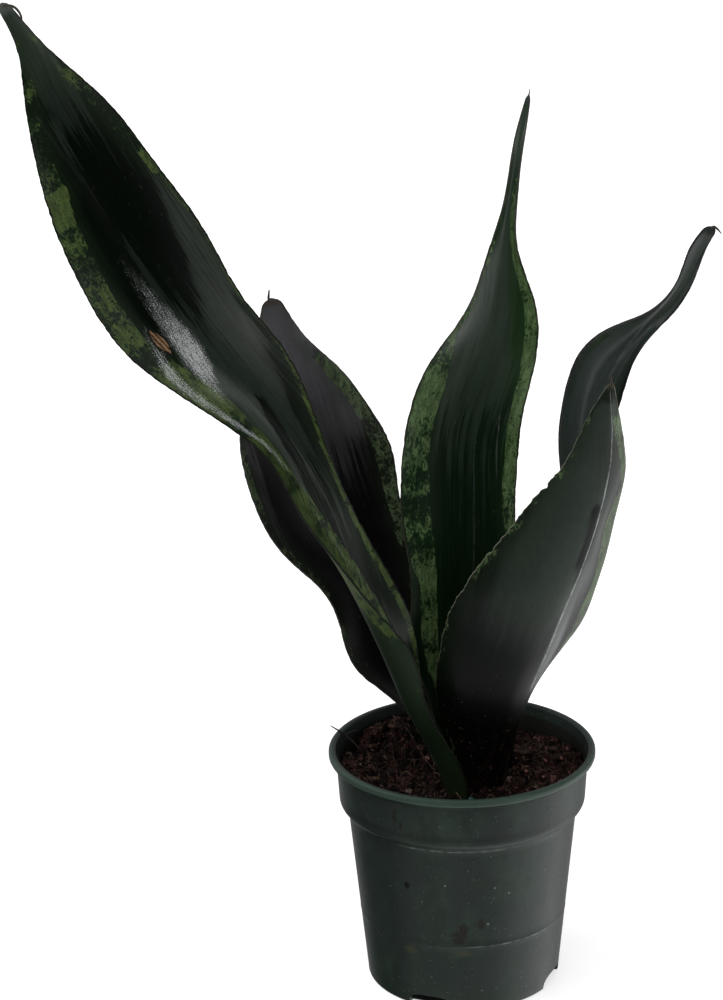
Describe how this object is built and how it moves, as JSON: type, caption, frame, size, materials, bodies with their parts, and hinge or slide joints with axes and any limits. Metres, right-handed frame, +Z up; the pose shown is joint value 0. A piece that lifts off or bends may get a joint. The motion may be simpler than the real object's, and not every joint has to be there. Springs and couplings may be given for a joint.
{
  "type": "potted snake plant",
  "caption": "Upright snake plant with broad waved dark leaves mottled green at the margins, in a plain tapered nursery pot with a banded rim, filled with potting soil.",
  "frame": {"origin": "centre of the pot's flat underside", "axes": "+Z up along the pot's axis, -Y the plant's front, +X to its right"},
  "size_m": [0.2735, 0.1192, 0.4076],
  "materials": {
    "pot": "satin moulded plastic, dark grey-green, lightly scuffed",
    "soil": "loose damp peat and coir with bits of bark",
    "leaf": "waxy, near-black green with mottled green margins"
  },
  "bodies": {
    "root": {"pot": "pot", "soil": "soil", "leaf_tall_left": "leaf", "leaf_back_left": "leaf", "leaf_centre": "leaf", "leaf_right_twisted": "leaf", "leaf_front_right": "leaf"}
  },
  "joints": []
}
